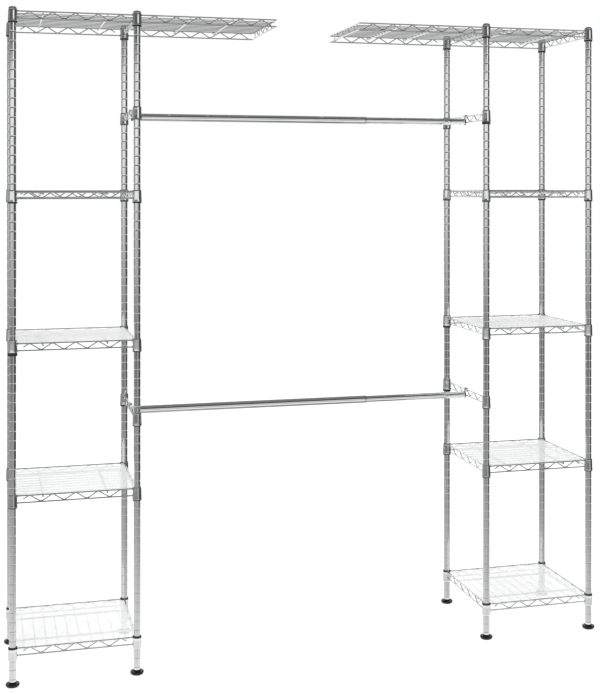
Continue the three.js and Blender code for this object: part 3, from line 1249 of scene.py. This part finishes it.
@dataclass
class Rods:
    """The side brackets, the hooks on them and the telescoping tubes."""

    sizes: Sizes
    work: Wirework
    outer: Tube = Tube(11.1 * MM, 1.2 * MM, 695 * MM)
    inner: Tube = Tube(9.6 * MM, 1 * MM, 750 * MM)
    edge_round: float = 0.4 * MM
    skin_inset: float = 2 * MM
    bush_clear: float = 0.2 * MM
    bush_gap: float = 0.1 * MM
    bush_length: float = 1.8 * MM
    bush_bevel: float = 0.5 * MM
    shank_length: float = 20 * MM
    shank_bevel: tuple[float, float] = (1.2 * MM, 1.8 * MM)
    hook_thick: float = 3 * MM
    hook_width: float = 14 * MM
    hook_corner: float = 0.8 * MM
    hook_bend: float = 2.2 * MM
    hook_start: float = -3 * MM
    hook_end: float = 21.6 * MM

    @property
    def near(self) -> float:
        """How far a plug's face is from the inner poles' axes."""
        return self.sizes.rail_radius + self.sizes.fit

    @property
    def tube_start(self) -> float:
        """How far a tube starts from the inner poles' axes."""
        return self.near + self.hook_thick + self.sizes.fit

    def tube(self, tube: Tube) -> Surface:
        """A tube along +X with rolled ends, its axis on y = z = 0.

        Args:
            tube: its sizes.

        Returns:
            A turned ring laid along X, its outline an arc at each end.
        """
        start, soft, inside = self.tube_start, self.edge_round, tube.radius - tube.wall
        end, steps = start + tube.length, 24
        skin = np.linspace(start + self.skin_inset, end - self.skin_inset, steps)
        return lathe(np.concatenate([
            arc((tube.radius - soft, start + soft), soft, -90, 0),
            np.stack([np.full(steps, tube.radius), skin], axis=1),
            arc((tube.radius - soft, end - soft), soft, 0, 90),
            [[inside, end], [inside, start]],
        ]), 48).lying()

    def bush(self) -> Surface:
        """The dark bush in the outer tube's free end, through which the inner tube slides.

        Returns:
            A turned ring with a bevelled rim, laid along X.
        """
        start = self.tube_start + self.outer.length
        wide, bore = self.outer.radius + self.bush_clear, self.inner.radius + self.bush_clear
        low, high, bevel = start + self.bush_gap, start + self.bush_length, self.bush_bevel
        rim = [[wide, low], [wide, high - bevel], [wide - bevel, high]]
        return lathe(np.array([*rim, [bore, high], [bore, low]]), 48).lying()

    def plug(self, tube: Tube) -> Surface:
        """The dark plug in a tube's end: a round flange with its shank.

        Args:
            tube: the tube that it plugs.

        Returns:
            The plug about the rod's axis, with the bracket's axis at x = 0.
        """
        near, far, soft = self.near, self.near + self.hook_thick, self.edge_round
        shank, edge = tube.radius - tube.wall - self.sizes.fit, tube.radius + self.sizes.fit
        fall, run = self.shank_bevel
        tip = far + self.shank_length + run
        return lathe(np.array([
            [0, near], [edge - soft, near], [edge, near + soft], [edge, far - soft],
            [edge - soft, far], [shank, far], [shank, tip - run], [shank - fall, tip], [0, tip],
        ]), 48).lying()

    def hook(self) -> Surface:
        """The plated strap on a plug: up its face, over the bracket's high rail and down behind.

        Returns:
            A flat strap bent round three corners, about the rod's axis.
        """
        middle, rise = self.near + self.hook_thick / 2, self.sizes.rod_rise
        over = self.sizes.high_rail + middle - rise
        corners = [[middle, self.hook_start], [middle, over], [-middle, over]]
        flat = bent(np.array([*corners, [-middle, self.hook_end - rise]]), self.hook_bend)
        path = np.stack([flat[:, 0], np.zeros(len(flat)), flat[:, 1]], axis=1)
        strap = strap_section(self.hook_thick, self.hook_width, self.hook_corner)
        return sweep(path, strap, DEEP)

    def build(self, shop: Workshop, side: Side) -> None:
        """Makes the two brackets of a tower, their hooks and the tubes that they carry.

        Args:
            shop: what makes the pieces.
            side: the tower.
        """
        x, body, is_outer = side.value * self.sizes.open_span / 2, side.body, side is Side.LEFT
        tube = self.outer if is_outer else self.inner
        for level, grooves in self.sizes.bracket_grooves:
            name, height = f"{side.word}_{level}", self.sizes.clip(grooves)
            wires = self.work.side(1).turned(1 + side.quarters).moved(x, 0, height)
            collars = self.work.fasten(shop, side, level, grooves, CORNERS[2:], "bracket_sleeve")
            shop.piece(f"{name}_side_bracket", wires, Finish.CHROME, body, [f"{name}_bracket"])
            shop.piece(f"{name}_bracket_collars", collars, Finish.CHROME, body)
            parts = [
                ("tube_plug", self.plug(tube), Finish.FITTING, [f"{name}_rod_hook"]),
                ("rail_hook", self.hook(), Finish.CHROME, ()),
                ("bright_tube", self.tube(tube), Finish.ROD, [f"{name}_rod_tube"]),
            ]
            if is_outer:
                parts.append(("tube_bush", self.bush(), Finish.FITTING, ()))
            for word, part, finish, nodes in parts:
                placed = part.turned(side.quarters).moved(x, 0, height + self.sizes.rod_rise)
                shop.piece(f"{name}_{word}", placed, finish, body, nodes, 35)


@dataclass(frozen=True)
class Lamp:
    """A soft square lamp, with its power in watts and its side in metres."""

    name: str
    place: Triple
    power: float
    size: float


Tones = tuple[tuple[float, float], ...]


@dataclass
class Studio:
    """The pale room: camera, floor, world and lamps.

    Tones are brightness by climb in degrees, a few round values for each side of a plain room: a
    pale floor that dims towards the wall, the wall, and a window where there is one. Each edge is
    where one part of the room gives way to the next, as two bearings or two climbs in degrees.
    """

    eye: Triple = (-0.9105, -3.6319, 1.3367)
    yaw: float = 0.2664
    focal_px: float = 1260.6
    width_px: float = 600.0
    height_px: float = 694.0
    centre_px: tuple[float, float] = (330.3, 185.35)
    sensor: float = 36.0
    sight: float = 100.0
    soft_light: float = 0.97
    floor_half: float = 14.0
    floor_shade: float = 0.36
    floor_glow: float = 0.78
    aim: Triple = (0.0, 0.0, 0.9)
    lamps: tuple[Lamp, ...] = (
        Lamp("key_left", (-3.0, -4.0, 3.6), 45.0, 2.6),
        Lamp("top_soft", (0.6, 0.4, 4.6), 70.0, 3.5),
    )
    middle_tones: Tones = (
        (-20.0, 0.75), (-13.0, 0.3), (-11.0, 0.3), (-8.0, 0.15), (-7.0, 0.15), (1.0, 0.9),
        (5.0, 0.9), (6.0, 0.1),
    )
    window_tones: Tones = ((-20.0, 0.7), (-17.0, 0.4), (-2.0, 0.4), (5.0, 1.0), (11.0, 1.0))
    right_tones: Tones = ((-20.0, 0.85), (-13.0, 0.05), (6.0, 0.05))
    left_tones: Tones = ((-20.0, 0.8), (-13.0, 0.3), (6.0, 0.3))
    floor_tones: Tones = (
        (-90.0, 0.65), (-80.0, 0.65), (-74.0, 0.15), (-60.0, 0.15), (-50.0, 1.0), (-23.0, 0.95),
    )
    ceiling_tones: Tones = ((18.0, 0.08), (47.0, 0.06), (54.0, 0.17), (90.0, 0.2))
    window_edge: tuple[float, float] = (17, 23)
    right_edge: tuple[float, float] = (51, 58)
    left_edge: tuple[float, float] = (-63, -53)
    wall_edges: tuple[tuple[float, float], ...] = ((152, 158), (-142, -136), (-66, -50), (25, 50))
    wall_tone: float = 0.95
    least_tone: float = 0.02

    def camera(self) -> None:
        """Makes the camera: level, turned by yaw towards +X, its picture shifted for the frame."""
        data = bpy.data.cameras.new("camera")
        data.sensor_fit = "HORIZONTAL"
        data.sensor_width = self.sensor
        data.lens = self.sensor * self.focal_px / self.width_px
        data.shift_x = (self.width_px / 2 - self.centre_px[0]) / self.width_px
        data.shift_y = (self.centre_px[1] - self.height_px / 2) / self.width_px
        data.clip_end = self.sight
        made = bpy.data.objects.new("camera", data)
        made.location = self.eye
        made.rotation_euler = (math.pi / 2, 0.0, -self.yaw)
        bpy.context.scene.collection.objects.link(made)
        bpy.context.scene.camera = made

    def bearing(self, x: Value, y: Value) -> Value:
        """A direction's bearing round the wardrobe.

        Args:
            x: the direction's X.
            y: its Y.

        Returns:
            Degrees, 0 towards the camera and growing to the camera's right.
        """
        sin, cos = math.sin(self.yaw), math.cos(self.yaw)
        back = (x * sin + y * cos) * -1.0
        right = x * cos - y * sin
        return right.math("ARCTAN2", back) * (180 / math.pi)

    def tone(self, shading: Shading) -> Value:
        """The room as the plating reflects it, by direction.

        Args:
            shading: the world's node maker.

        Returns:
            Brightness by climb in four sectors round the photographer, and a pale wall behind the
            wardrobe that dims above and below.
        """
        direction = shading.node("ShaderNodeTexCoord", output="Generated")
        split = shading.node("ShaderNodeSeparateXYZ", {}, [direction]).socket.node
        x, y, z = (Value(shading.tree, split.outputs[i]) for i in range(3))
        turn = self.bearing(x, y)
        climb = z.math("ARCSINE") * (180 / math.pi)
        right = turn.between(*self.right_edge)
        left = 1.0 - turn.between(*self.left_edge)
        window = turn.between(*self.window_edge) * (1.0 - right)
        middle = (1.0 - window) * (1.0 - right) * (1.0 - left)
        sectors = (
            (middle, self.middle_tones), (window, self.window_tones),
            (right, self.right_tones), (left, self.left_tones),
        )
        front = (share * self.by_climb(shading, climb, tones) for share, tones in sectors)
        from_right, from_left, from_below, from_above = self.wall_edges
        wall = turn.between(*from_right) + 1.0 - turn.between(*from_left)
        wall = wall * (1.0 - climb.between(*from_above)) * climb.between(*from_below)
        return sum(front, self.least_tone) * (1.0 - wall) + wall * self.wall_tone

    def by_climb(self, shading: Shading, climb: Value, tones: Tones) -> Value:
        """Brightness along one sector.

        Args:
            shading: the world's node maker.
            climb: the direction's climb in degrees.
            tones: the sector's own tones.

        Returns:
            The tone at that climb, with floor and ceiling below and above the sector's own.
        """
        every = (*self.floor_tones, *tones, *self.ceiling_tones)
        stops = [((degrees + 90) / 180, (tone, tone, tone)) for degrees, tone in every]
        return shading.node("ShaderNodeValToRGB", {"stops": stops}, [(climb + 90.0) / 180])

    @staticmethod
    def ray(shading: Shading, *kinds: str) -> list[Value]:
        """Whether the ray that looks is of each kind, such as Is Camera Ray."""
        path = shading.node("ShaderNodeLightPath").socket.node
        return [Value(shading.tree, path.outputs[kind]) for kind in kinds]

    def world(self) -> None:
        """Makes the world.

        It is white to the camera and through sheets, the room to plating, and soft light to the
        rest.
        """
        made = bpy.data.worlds.new("room")
        made.use_nodes = True
        made.node_tree.nodes.clear()
        shading = Shading(made.node_tree)
        kinds = ("Is Glossy Ray", "Is Camera Ray", "Is Transmission Ray")
        glossy, seen, through = self.ray(shading, *kinds)
        white = seen.math("MAXIMUM", through)
        level = glossy * self.tone(shading) + (1.0 - glossy) * self.soft_light
        inputs = {"Color": (1, 1, 1, 1), "Strength": white + (1.0 - white) * level}
        light = shading.node("ShaderNodeBackground", {}, inputs)
        shading.node("ShaderNodeOutputWorld", {}, [light])
        bpy.context.scene.world = made

    def floor(self) -> None:
        """Makes the pale floor, which the camera sees white but for the object's shadow.

        Plating looks through it, into the room.
        """
        half, shade = self.floor_half, self.floor_shade
        corners = [(-half, -half, 0), (half, -half, 0), (half, half, 0), (-half, half, 0)]
        mesh = bpy.data.meshes.new("studio_floor")
        mesh.from_pydata(corners, [], [(0, 1, 2, 3)])
        made = bpy.data.objects.new("studio_floor", mesh)
        bpy.context.scene.collection.objects.link(made)
        material, shading = new_material("pale_floor")
        glossy, seen = self.ray(shading, "Is Glossy Ray", "Is Camera Ray")
        matt = shading.node("ShaderNodeBsdfDiffuse", {}, {"Color": (0.9, 0.9, 0.9, 1)})
        veil = shading.node("ShaderNodeBsdfDiffuse", {}, {"Color": (shade, shade, shade, 1)})
        glow = {"Color": (1, 1, 1, 1), "Strength": self.floor_glow}
        lift = shading.node("ShaderNodeEmission", {}, glow)
        pale = shading.node("ShaderNodeAddShader", {}, [veil, lift])
        plain = shading.node("ShaderNodeMixShader", {}, [seen, matt, pale])
        clear = shading.node("ShaderNodeBsdfTransparent")
        mixed = shading.node("ShaderNodeMixShader", {}, [glossy, plain, clear])
        shading.node("ShaderNodeOutputMaterial", {}, [mixed])
        mesh.materials.append(material)

    def hang(self, lamp: Lamp) -> None:
        """Makes a lamp that looks at the middle of the wardrobe and shows in no reflection.

        Args:
            lamp: its sizes and place.
        """
        data = bpy.data.lights.new(lamp.name, "AREA")
        data.energy = lamp.power
        data.size = lamp.size
        made = bpy.data.objects.new(lamp.name, data)
        made.location = lamp.place
        x, y, z = np.array(self.aim) - np.array(lamp.place)
        tilt = math.pi / 2 - math.atan2(-z, math.hypot(x, y))
        made.rotation_euler = (tilt, 0, math.atan2(y, x) - math.pi / 2)
        made.visible_glossy = False
        bpy.context.scene.collection.objects.link(made)

    def build(self) -> None:
        """Makes the whole room."""
        self.camera()
        self.world()
        self.floor()
        for lamp in self.lamps:
            self.hang(lamp)
        bpy.context.scene.view_settings.view_transform = "Standard"


def main() -> None:
    """Builds the room and the wardrobe."""
    logging.basicConfig(level=logging.INFO, format="%(name)s: %(message)s")
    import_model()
    Studio().build()
    sizes = Sizes()
    work = Wirework(sizes)
    shop = Workshop()
    for side in Side:
        Poles(sizes).build(shop, side)
        Shelves(sizes, work).build(shop, side)
        Rods(sizes, work).build(shop, side)
    LOG.info("%d pieces", shop.made)


if __name__ == "__main__":
    main()
